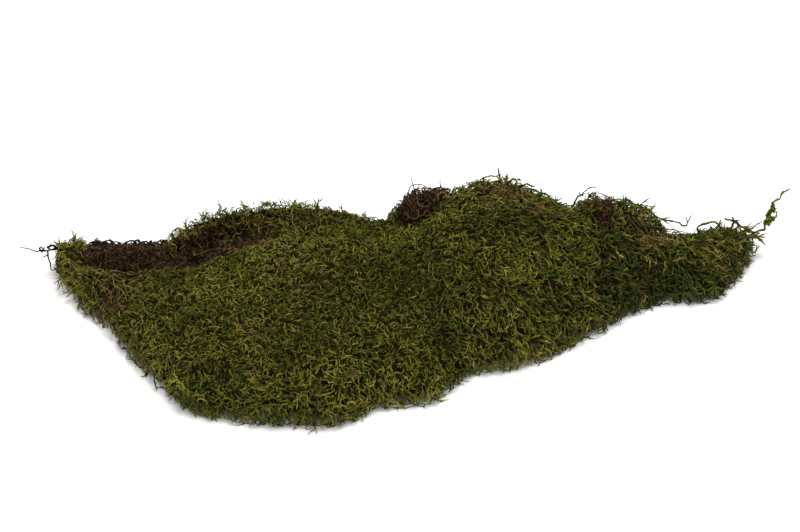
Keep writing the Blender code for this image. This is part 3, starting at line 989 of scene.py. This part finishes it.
FIBRES = (  # pale dead stems that lie on the torn left end
    fibre(0.6, 0.86, (-159, 29, 0), (-156, 28, 2), (-153, 25, 1.5), (-151, 19, 0), (-149, 16, -1)),
    fibre(0.6, 0.8, (-160, 26, 0), (-157, 22, 1.5), (-154, 16, 0.8), (-150, 14, -0.5)),
    fibre(0.6, 0.8, (-146, 13, 0), (-143, 15, 1), (-139, 14, 0.6), (-134, 12, -0.5)),
    fibre(0.65, 0.82, (-145, 12, 0), (-142, 7, 1), (-141, 3, 0.3), (-137, -1, 0.8),
        (-134, -7, -0.5)),
    fibre(0.6, 0.86, (-149, 8, 0), (-147, 4, 1), (-143, 0, 0.6), (-142, -5, -0.5)),
    fibre(0.6, 0.8, (-140, 9, -0.5), (-137, 6, 0.8), (-136, 2, 0.4), (-132, -1, 0.8),
        (-128, -3, -0.5)),
    fibre(0.6, 0.9, (-152, 6, 0), (-150, 0, 1), (-148, -3, 0), (-144, -8, 0.5)),
    fibre(0.6, 0.95, (-139, 3, -0.5), (-138, -3, 0.8), (-139, -9, -0.3)),
    fibre(0.7, 0.95, (-110, 34, 0.5), (-106, 33, 2), (-102, 32, 1.2), (-98, 31, 0)),
    fibre(0.6, 0.9, (-108, 31, 0), (-103, 30, 1.2), (-97, 32, 0.6), (-90, 34, 0.8)),
    fibre(0.7, 0.97, (-112, 33, 0), (-111, 31, 2.2), (-108, 29, 0.5)),
    fibre(0.8, 0.93, (34, 51, 0.5), (40, 51, 2.2), (47, 50, 1.8), (54, 48, 0.5)),
    fibre(0.7, 0.9, (38, 47, 0), (43, 48, 1.8), (49, 46, 1.6), (53, 43, 0)),
    fibre(0.7, 0.95, (44, 53, 0.5), (48, 50, 2), (50, 46, 1.4), (49, 42, 0)),
)  # fmt: skip
RUSTY_FIBRES = (  # dead stems below the shoulder and on the right tip, running down to the right
    fibre(0.8, 0.93, (112, 44, 0.5), (116, 42, 2), (121, 39, 1.6), (126, 35, 0.5)),
    fibre(0.8, 0.97, (111, 41, 0), (115, 39, 1.8), (119, 36, 1.4), (124, 32, 0.5)),
    fibre(0.7, 0.9, (115, 45, 0.5), (119, 44, 2), (125, 41, 1.6), (131, 38, 1)),
    fibre(0.8, 0.94, (113, 38, 0), (118, 38, 2), (122, 35, 1.8), (129, 33, 0.8)),
    fibre(0.7, 0.97, (117, 42, 1), (120, 38, 2.2), (121, 33, 1), (121, 29, 0)),
    fibre(0.7, 0.88, (116, 40, 1), (122, 40, 2.2), (128, 37, 1.5), (134, 35, 0.8)),
    fibre(0.8, 0.9, (148, 40, 0.5), (153, 38, 1.8), (158, 34, 1.2), (163, 30, 0.5)),
    fibre(0.8, 0.86, (145, 37, 0), (150, 34, 1.6), (156, 31, 1.2), (160, 26, 0.3)),
    fibre(0.8, 0.93, (150, 44, 0.5), (156, 41, 1.8), (161, 38, 1.4), (167, 35, 0.5)),
)  # fmt: skip
TAIL_CHAINS = (  # twisted leafy stems that lie along the bare edge before the right tip
    laid_stem(1.5, 0.4, (122, 50, 1), (128, 52, 2.6), (134, 53, 1.8), (141, 53, 3), (148, 54, 2),
        (155, 54, 3.4), twigs=6),
    laid_stem(1.4, 0.46, (131, 50, 0.6), (138, 52, 2.2), (145, 51, 1.2), (152, 53, 2.8),
        (160, 52, 1.6), twigs=6),
    laid_stem(1.3, 0.36, (140, 50, 0.6), (147, 52, 3), (154, 51, 1.4), (161, 54, 3), (167, 53, 1),
        twigs=6),
    laid_stem(1.3, 0.4, (150, 53, 1), (153, 54, 4), (158, 55, 5), (163, 55, 3), twigs=4),
)  # fmt: skip

RIM_SPRIGS = (
    ((-108, 36), (-0.6, 0.1, 0.7), 6.5, 5, 0.45, 0.5),
    ((-109, 33), (-0.3, -0.3, 0.9), 5.0, 9, 0.95, 0.7),
    ((-103, 36), (-0.2, -0.1, 0.9), 6.0, 7, 0.92, 0.6),
    ((-97, 38), (0.0, -0.3, 0.9), 4.5, 6, 0.95, 0.7),
    ((-99, 40), (0.1, 0.2, 1.0), 7.0, 5, 0.45, 0.45), ((-92, 42), (0.3, 0.2, 0.8), 5.5, 4, 0.45, 0.5),
    ((-79, 46), (-0.2, 0.3, 0.8), 5.0, 5, 0.42, 0.6), ((-66, 47), (0.1, 0.3, 0.9), 5.0, 5, 0.4, 0.6),
    ((-57, 48), (0.3, 0.2, 1.0), 7.5, 6, 0.5, 0.5), ((-52, 48), (0.5, 0.2, 0.7), 6.0, 4, 0.42, 0.4),
    ((-44, 48), (-0.2, 0.3, 0.9), 6.0, 6, 0.3, 0.6), ((-37, 47), (0.2, 0.3, 0.8), 6.5, 6, 0.28, 0.6),
    ((-31, 46), (0.5, 0.2, 0.6), 5.5, 5, 0.32, 0.5), ((-21, 44), (0.3, 0.2, 0.7), 5.0, 4, 0.4, 0.4),
)  # fmt: skip
CREST_SPRIGS = (
    ((40, 56), (-0.5, 0.2, 0.5), 6.0, 5, 0.55, 0.5), ((30, 55), (-0.4, 0.2, 0.5), 5.0, 5, 0.4, 0.6),
    ((-3, 44), (-0.9, 0.1, 0.9), 6.0, 5, 0.35, 0.45), ((68, 60), (0.5, 0.2, 0.6), 5.0, 4, 0.35, 0.5),
    ((76, 58), (0.3, 0.3, 0.8), 4.5, 5, 0.3, 0.6),
)  # fmt: skip
SHOULDER_SPRIGS = (
    ((112, 54), (-0.2, 0.3, 0.9), 5.5, 6, 0.2, 0.6),
    ((117, 54), (0.9, 0.0, 0.5), 10.0, 5, 0.45, 0.3, 0.8),
    ((122, 52), (0.9, 0.0, 0.2), 9.0, 5, 0.5, 0.35, 0.8),
    ((127, 50), (0.8, 0.1, -0.2), 8.0, 6, 0.45, 0.5, 0.8),
)  # fmt: skip
TIP_SPRIGS = (
    ((-170, 36), (-0.3, 0.2, 1.0), 7.5, 3, 0.65, 0.25),
    ((-166, 38), (0.5, 0.2, 0.8), 7.0, 4, 0.6, 0.45),
    ((-168, 24), (-0.8, -0.4, -0.2), 7.0, 6, 0.6, 0.5),
    ((-163, 16), (-0.6, -0.7, -0.3), 7.0, 6, 0.5, 0.5),
)  # fmt: skip
TAIL_SPRIGS = (
    ((171, 52), (0.3, 0.3, 0.9), 6.0, 6, 0.4, 0.6), ((165, 55), (-0.2, 0.3, 0.8), 6.0, 6, 0.35, 0.6),
    ((174, 46), (0.9, -0.1, 0.2), 6.0, 6, 0.4, 0.6), ((173, 38), (0.9, -0.4, 0.0), 6.0, 6, 0.35, 0.6),
    ((168, 30), (0.8, -0.6, -0.1), 6.0, 6, 0.35, 0.6), ((150, 50), (0.1, 0.3, 0.7), 5.0, 6, 0.3, 0.7),
    ((158, 52), (0.0, 0.3, 0.7), 5.0, 6, 0.35, 0.7), ((155, 14), (0.3, -0.8, -0.1), 6.0, 5, 0.35, 0.5),
)  # fmt: skip


def smooth_route(points, rings):
    """Evenly numbered points on the smooth curve through the given ones."""
    points = np.array(points, float)
    padded = np.concatenate([[2 * points[0] - points[1]], points, [2 * points[-1] - points[-2]]])
    at = np.linspace(0, len(points) - 1 - 1e-9, rings)
    k = at.astype(int)
    t = (at - k)[:, None]
    before, a, b, after = padded[k], padded[k + 1], padded[k + 2], padded[k + 3]
    return 0.5 * (
        2 * a + (b - before) * t
        + (2 * before - 5 * a + 4 * b - after) * t**2
        + (3 * a - before - 3 * b + after) * t**3
    )  # fmt: skip


ABOVE_CLUMP = 200 * MM
FOOT_OF_CLUMP = 10 * MM
SPRIG_DEPTH = 1.5 * MM  # how far under the surface a sprig starts
STRAND_SIDE = np.array([0.3, 1.0, 0.2])  # the rough direction of a loose strand's side


def top_of_clump(x, y):
    """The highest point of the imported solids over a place, or the nearest point outside them."""
    found = WHOLE_TREE.ray_cast(Vector((x, y, ABOVE_CLUMP)), Vector((0, 0, -1)))[0]
    return np.array(found or WHOLE_TREE.find_nearest(Vector((x, y, FOOT_OF_CLUMP)))[0])


def loose_strands(table, rng, rings=16):
    parts = []
    for strand in table:
        route = np.array(strand.route, float) * MM
        if strand.draped:
            route[:, 2] += [top_of_clump(x, y)[2] for x, y, _ in route]
        path = smooth_route(route, rings)[None]
        path = path + rng.normal(size=path.shape) * strand.width * 0.12 * MM
        side = np.broadcast_to(STRAND_SIDE, path.shape)
        width, tone = np.array([strand.width * MM]), np.array([strand.tone])
        profile = SHOOT_PROFILE if strand.leafy else ROOT_PROFILE
        parts.append(strands(path, side, width, tone, rng, strand.leafy, strand.youth, profile))
        if strand.twigs:
            parts.append(twigs(path, width * 0.8, tone, None, np.ones(1), strand.twigs, rng))
    return parts


def sprigs(table, rng, rings=7):
    parts = []
    for row in table:
        sprig = Sprig(*row)
        root = top_of_clump(*(np.array(sprig.place) * MM)) - np.array([0, 0, SPRIG_DEPTH])
        count = sprig.count
        heading = unit(np.array(sprig.heading, float))
        heading = unit(heading + sprig.spread * rng.normal(size=(count, 3)))
        bend = rng.normal(size=(count, 3)) * 0.45 + np.array([0, 0, -0.25])
        along = np.linspace(0, 1, rings)[:, None]
        length = (sprig.length * rng.uniform(0.55, 1.15, count) * MM)[:, None, None]
        path = root + length * (heading[:, None] * along + bend[:, None] * along**2 * 0.5)
        path += rng.normal(size=path.shape) * 0.1 * MM
        side = np.broadcast_to(np.cross(heading, bend)[:, None], path.shape)
        width = sprig.width * rng.uniform(0.75, 1.2, count) * MM
        tone = np.clip(rng.normal(sprig.tone, 0.1, count), DARKEST, BRIGHTEST)
        parts.append(strands(path, side, width, tone, rng, age_shift=0.3))
        parts.append(twigs(path, width, tone, None, np.full(count, 0.35), most=3, rng=rng))
    return parts


def places_along(line, count, spread, rng):
    """Random places on top of the clump, near a line of (x, y) points in mm."""
    route = smooth_route([(x, y, 0) for x, y in line], rings=60)
    chosen = route[rng.integers(0, len(route), count), :2]
    chosen = (chosen + rng.normal(size=chosen.shape) * spread) * MM
    return np.array([top_of_clump(x, y) for x, y in chosen])


# Small open loops along a line: each row has the line's (x, y) points, the number of loops, their
# spread about the line, their radius, tone and width, in mm.
TEAR_LOOPS = (((-156, 42), (-150, 41), (-138, 39), (-126, 38), (-114, 40)), 60, 1.4, 2.0, 0.1, 1.5)
CARPET_LOOPS = (
    (((128, 51), (138, 52), (148, 53), (158, 54), (168, 54)), 24, 1.6, 2.0, 0.4, 1.1),
    (((22, 50), (28, 52), (34, 54)), 10, 1.5, 2.2, 0.5, 1.0),
    (((-7, 40), (-5, 44), (-2, 47), (1, 47)), 9, 0.8, 2.3, 0.45, 1.0),
    (((-160, 8), (-150, -8), (-138, -24), (-126, -40), (-118, -52)), 14, 2.0, 2.0, 0.5, 0.85),
    (((-108, -64), (-92, -73), (-60, -78), (-30, -79), (-14, -68)), 26, 2.0, 1.8, 0.55, 0.85),
)
RIM_LOOPS = ((((-116, 32), (-110, 33), (-104, 36)), 9, 2.4, 2.2, 0.6, 0.95),)
TIP_LOOPS = ((((-171, 38), (-169, 28), (-166, 18), (-162, 10)), 16, 1.2, 2.2, 0.62, 0.9),)


def loops_along(row, rng, lift=0.0, **options):
    """The loops of one row."""
    line, count, spread, radius, tone, width = row
    places = places_along(line, count, spread, rng) + np.array([0, 0, lift])
    return loops(places, radius * MM, tone, width * MM, rng, **options)


# --- Operators ------------------------------------------------------------------------

MOSS_NODES = ("moss_carpet", "left_tip_tuft", "back_rim_moss", "shoulder_tuft")
CLOD_NODES = ("middle_root_clod", "right_root_clod")
SEEDS = {"humus": 101, "clods": 202, "carpet": 303, "tufts": 404, "stem": 505, "rootlet": 606}

CRUMB_SPACING = 1.45 * MM
ROOT_SPACING = 1.6 * MM
TEAR_LIFT = 0.8 * MM
CLOD_ROOT_SPACING = 1.35 * MM
CLOD_ROOT_LENGTH = 8.0 * MM
CLOD_CRUMB_SPACING = 2.4 * MM
CLOD_CRUMB_DEPTH = 0.6 * MM
WILD_SPACING = 3.6 * MM
WILD_LENGTH = 13 * MM
WILD_HABIT = replace(ROOTLET_HABIT, start=70, end=-45, over=1.6, over_spread=0.9, curl=170)
CREEPING_SPACING = 1.1 * MM
CREEPING_ROOM = 4 * MM
CREEPING_COARSENESS = 0.2
TUFT_DEPTH = 6 * MM
CARPET_ZONES = (  # the ends of each joined mesh of shoots along X, in mm
    ("left", -200, -96), ("middle", -96, -40), ("centre", -40, 18), ("slope", 18, 84),
    ("right", 84, 200),
)  # fmt: skip


def bare_skin(*nodes):
    """The part of the mat, or of the given nodes, that no moss and no clod covers."""
    skins = []
    for node in nodes or ("humus_mat", *CLOD_NODES):
        covers = [solid_tree(other) for other in (*MOSS_NODES, *CLOD_NODES) if other != node]
        skins.append(outer_skin(node, lowest_normal=-0.8, hidden_by=covers, reach=1.2 * MM))
    return Skin(*(np.concatenate(parts) for parts in zip(*(vars(skin).values() for skin in skins))))


def uncrept(places, normals):
    """The places on bare ground that no moss has crept over."""
    free = near(places, CREEPING_PATCHES) < 0.5
    return places[free], normals[free]


class MOSS_OT_humus(bpy.types.Operator):
    """Roughens the humus mat and covers its bare parts with crumbs and fine roots"""

    bl_idname = "moss.humus"
    bl_label = "Humus Mat"

    def execute(self, context):
        s = context.scene.moss_humus
        rng = np.random.default_rng(SEEDS["humus"])
        ground_piece("humus_mat_ground", "humus_mat", MAT_GROUND, no_sink, humus_finish())
        bare = bare_skin("humus_mat")
        lumps = crumbs(*evenly(bare, CRUMB_SPACING, rng), s.crumb_size, rng)
        mesh_piece("humus_crumbs", [lumps], root_finish())
        places, normals = evenly(bare, ROOT_SPACING, rng)
        roots = rootlets(places, normals, s.rootlet_length, s.rootlet_width, rng)
        rings = loops_along(TEAR_LOOPS, rng, TEAR_LIFT, age_shift=0.1)
        mesh_piece("humus_fine_roots", [roots, rings], root_finish())
        return {"FINISHED"}


class MOSS_OT_clods(bpy.types.Operator):
    """Makes the two bare root clods out of rough ground and matted rootlets"""

    bl_idname = "moss.clods"
    bl_label = "Root Clods"

    def execute(self, context):
        s = context.scene.moss_humus
        rng = np.random.default_rng(SEEDS["clods"])
        for node in CLOD_NODES:
            ground_piece(node + "_ground", node, CLOD_GROUND, clod_sink, humus_finish())
            skin = outer_skin(node)
            places, normals = uncrept(*evenly(skin, CLOD_ROOT_SPACING, rng))
            width = s.rootlet_width
            matted = rootlets(places, normals, CLOD_ROOT_LENGTH, width * 1.3, rng, rings=8)
            places, normals = uncrept(*evenly(skin, CLOD_CRUMB_SPACING, rng))
            places = places - normals * CLOD_CRUMB_DEPTH
            lumps = crumbs(places, normals, s.crumb_size * 1.2, rng)
            places, normals = uncrept(*evenly(skin, WILD_SPACING, rng))
            wild = rootlets(
                places, normals, WILD_LENGTH, width * 1.6, rng, rings=11, habit=WILD_HABIT,
                tone=rng.beta(1.3, 1.6, len(places)),
            )  # fmt: skip
            mesh_piece(node + "_roots", [matted, lumps, wild], root_finish())
        return {"FINISHED"}


class MOSS_OT_carpet(bpy.types.Operator):
    """Grows the moss carpet: its old thatch, and its green shoots in joined meshes"""

    bl_idname = "moss.carpet"
    bl_label = "Moss Carpet"

    def execute(self, context):
        node = "moss_carpet"
        rng = np.random.default_rng(SEEDS["carpet"])
        sink = thatch_sink(node, share=0.55, most=CARPET_DEPTH)
        ground_piece("moss_carpet_thatch", node, CARPET_GROUND, sink, thatch_finish())
        skin = outer_skin(node)
        places, normals = scatter(skin, moss_spacing, rng)
        places, room = bedded(node, places, normals)
        habit = Habit()
        for zone, low, high in CARPET_ZONES:
            inside = (places[:, 0] >= low * MM) & (places[:, 0] < high * MM)
            flow = carpet_flow(places[inside])
            parts = moss_shoots(places[inside], normals[inside], room[inside], habit, rng, flow)
            mesh_piece(f"moss_carpet_shoots_{zone}", parts, moss_finish())
        places, normals = evenly(bare_skin(), CREEPING_SPACING, rng)
        crept = near(places, CREEPING_PATCHES) > rng.uniform(0.15, 1.0, len(places))
        places, normals = places[crept], normals[crept]
        room = np.full(len(places), CREEPING_ROOM)
        parts = moss_shoots(places, normals, room, habit, rng, coarse=CREEPING_COARSENESS)
        mesh_piece("moss_carpet_creeping_shoots", parts, moss_finish())
        parts = fringe(skin, rng) + sprigs(CREST_SPRIGS, rng) + sprigs(TAIL_SPRIGS, rng)
        parts += loose_strands(FIBRES + RUSTY_FIBRES + TAIL_CHAINS, rng, rings=12)
        parts += [loops_along(row, rng, leafy=True) for row in CARPET_LOOPS]
        mesh_piece("moss_carpet_loose_shoots", parts, moss_finish())
        return {"FINISHED"}


@dataclass(frozen=True)
class Tuft:
    """How one tuft is grown. Its spacing is in mm."""

    habit: Habit
    spacing: float
    tone_shift: float
    coarse: float
    dull: float
    slot: str
    sprigs: tuple
    loops: tuple = ()


TUFTS = {
    "left_tip_tuft": Tuft(
        Habit(start=62, end=-5, over=-0.6, over_spread=0.9, hang=0.8, curl=80),
        spacing=1.35, tone_shift=0.21, coarse=0.05, dull=0.85, slot="dry_moss",
        sprigs=TIP_SPRIGS, loops=TIP_LOOPS,
    ),
    "back_rim_moss": Tuft(
        Habit(start=64, end=0, over=0.0, over_spread=1.3, hang=0.2, curl=80),
        spacing=1.35, tone_shift=0.03, coarse=0.0, dull=1.1, slot="moss",
        sprigs=RIM_SPRIGS, loops=RIM_LOOPS,
    ),
    "shoulder_tuft": Tuft(
        Habit(start=60, end=-30, over=0.6, hang=1.6),
        spacing=1.7, tone_shift=0.16, coarse=0.6, dull=1.2, slot="dry_moss",
        sprigs=SHOULDER_SPRIGS,
    ),
}  # fmt: skip


class MOSS_OT_tufts(bpy.types.Operator):
    """Grows the left tip's tuft, the moss on the back rim and the drooping shoulder tuft"""

    bl_idname = "moss.tufts"
    bl_label = "Tufts and Rim"

    def execute(self, context):
        rng = np.random.default_rng(SEEDS["tufts"])
        for node, tuft in TUFTS.items():
            finish = thatch_finish()
            if node == "back_rim_moss":
                finish = humus_finish("shaded_humus", brightness=0.5)
            sink = thatch_sink(node, share=0.5, most=TUFT_DEPTH)
            ground_piece(node + "_thatch", node, TUFT_GROUND, sink, finish)
            places, normals = evenly(outer_skin(node), tuft.spacing * MM, rng)
            grown = near(places, BARE_PATCHES) < rng.uniform(0.1, 1.0, len(places))
            normals = normals[grown]
            places, room = bedded(node, places[grown], normals)
            parts = moss_shoots(
                places, normals, room, tuft.habit, rng,
                tone_shift=tuft.tone_shift, coarse=tuft.coarse, dull=tuft.dull,
            )  # fmt: skip
            parts += sprigs(tuft.sprigs, rng)
            parts += [loops_along(row, rng, leafy=True) for row in tuft.loops]
            mesh_piece(node + "_shoots", parts, moss_finish())
        return {"FINISHED"}


def loose_pieces(kind, suffix, material):
    """One mesh for each node whose name ends with its kind."""
    rng = np.random.default_rng(SEEDS[kind])
    for node, table in LOOSE.items():
        if node.endswith(kind):
            piece = mesh_piece(node + suffix, loose_strands(table, rng), material)
            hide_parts(node)


class MOSS_OT_stems(bpy.types.Operator):
    """Makes the loose leafy stems along the crest and the right tip"""

    bl_idname = "moss.stems"
    bl_label = "Loose Stems"

    def execute(self, context):
        loose_pieces("stem", "_leafy", moss_finish())
        return {"FINISHED"}


class MOSS_OT_rootlets(bpy.types.Operator):
    """Makes the two long dark rootlets, at the left tip and on the middle clod"""

    bl_idname = "moss.rootlets"
    bl_label = "Long Rootlets"

    def execute(self, context):
        loose_pieces("rootlet", "_curly", root_finish())
        return {"FINISHED"}


# --- Stage ----------------------------------------------------------------------------

FLOOR_HALF = 3.0
LAMP_PLACE = (0.25, 0.3, 1.6)
LAMP_SIZE = 1.0
LAMP_COLOUR = (1.0, 0.99, 0.97)
CLUMP_MIDDLE = Vector((-0.002, 0.0157, 0.0201))  # the camera looks at it


def area_lamp(name, place, power):
    """A round soft lamp that faces the clump."""
    lamp = bpy.data.lights.new(name, "AREA")
    lamp.shape = "DISK"
    lamp.size = LAMP_SIZE
    lamp.energy = power
    lamp.color = LAMP_COLOUR
    made = bpy.data.objects.new(name, lamp)
    made.location = place
    made.rotation_euler = (-Vector(place)).to_track_quat("-Z", "Y").to_euler()
    bpy.context.scene.collection.objects.link(made)


class MOSS_OT_stage(bpy.types.Operator):
    """Sets the pale floor, the soft lights and the camera"""

    bl_idname = "moss.stage"
    bl_label = "Stage"

    def execute(self, context):
        s = context.scene.moss_stage
        scene = context.scene
        mesh = bpy.data.meshes.new("floor")
        half = FLOOR_HALF
        corners = [(-half, -half, 0), (half, -half, 0), (half, half, 0), (-half, half, 0)]
        mesh.from_pydata(corners, [], [(0, 1, 2, 3)])
        material, _, shader = new_finish("pale_floor", roughness=0.9, specular=0.1)
        shader.inputs["Base Color"].default_value = (*s.floor, 1.0)
        mesh.materials.append(material)
        floor = bpy.data.objects.new("floor", mesh)
        scene.collection.objects.link(floor)

        sky = bpy.data.worlds.new("soft_sky")
        sky.use_nodes = True
        background = sky.node_tree.nodes["Background"]
        background.inputs["Color"].default_value = (1.0, 1.0, 1.0, 1.0)
        background.inputs["Strength"].default_value = s.sky_strength
        scene.world = sky
        area_lamp("key", LAMP_PLACE, s.key_power)

        rise, run = math.sin(s.camera_elevation), math.cos(s.camera_elevation)
        camera = bpy.data.cameras.new("camera")
        camera.lens = s.lens
        camera.clip_start = 0.01
        seat = bpy.data.objects.new("camera", camera)
        seat.location = CLUMP_MIDDLE + s.camera_distance * Vector((0, -run, rise))
        seat.rotation_euler = (math.pi / 2 - s.camera_elevation, 0, 0)
        scene.collection.objects.link(seat)
        scene.camera = seat
        scene.view_settings.view_transform = "Standard"
        return {"FINISHED"}


OPERATORS = (
    MOSS_OT_stage, MOSS_OT_humus, MOSS_OT_clods, MOSS_OT_carpet, MOSS_OT_tufts, MOSS_OT_stems,
    MOSS_OT_rootlets,
)  # fmt: skip
SETTINGS = {
    "moss_shoots": MossShootSettings,
    "moss_humus": MossHumusSettings,
    "moss_stage": MossStageSettings,
}


class MOSS_PT_clump(bpy.types.Panel):
    """Lists the settings and the steps of the moss clump"""

    bl_idname = "MOSS_PT_clump"
    bl_label = "Moss Clump"
    bl_space_type = "VIEW_3D"
    bl_region_type = "UI"
    bl_category = "Moss"

    def draw(self, context):
        for name, group in SETTINGS.items():
            box = self.layout.box()
            box.label(text=name.replace("_", " ").title())
            for setting in group.__annotations__:
                box.prop(getattr(context.scene, name), setting)
        for operator in OPERATORS:
            self.layout.operator(operator.bl_idname)


def register():
    for group in (*SETTINGS.values(), *OPERATORS, MOSS_PT_clump):
        bpy.utils.register_class(group)
    for name, group in SETTINGS.items():
        setattr(bpy.types.Scene, name, bpy.props.PointerProperty(type=group))


def unregister():
    for name in SETTINGS:
        delattr(bpy.types.Scene, name)
    for group in reversed((*SETTINGS.values(), *OPERATORS, MOSS_PT_clump)):
        bpy.utils.unregister_class(group)


def main():
    register()
    for operator in OPERATORS:
        group, name = operator.bl_idname.split(".")
        getattr(getattr(bpy.ops, group), name)()


if __name__ == "__main__":
    main()
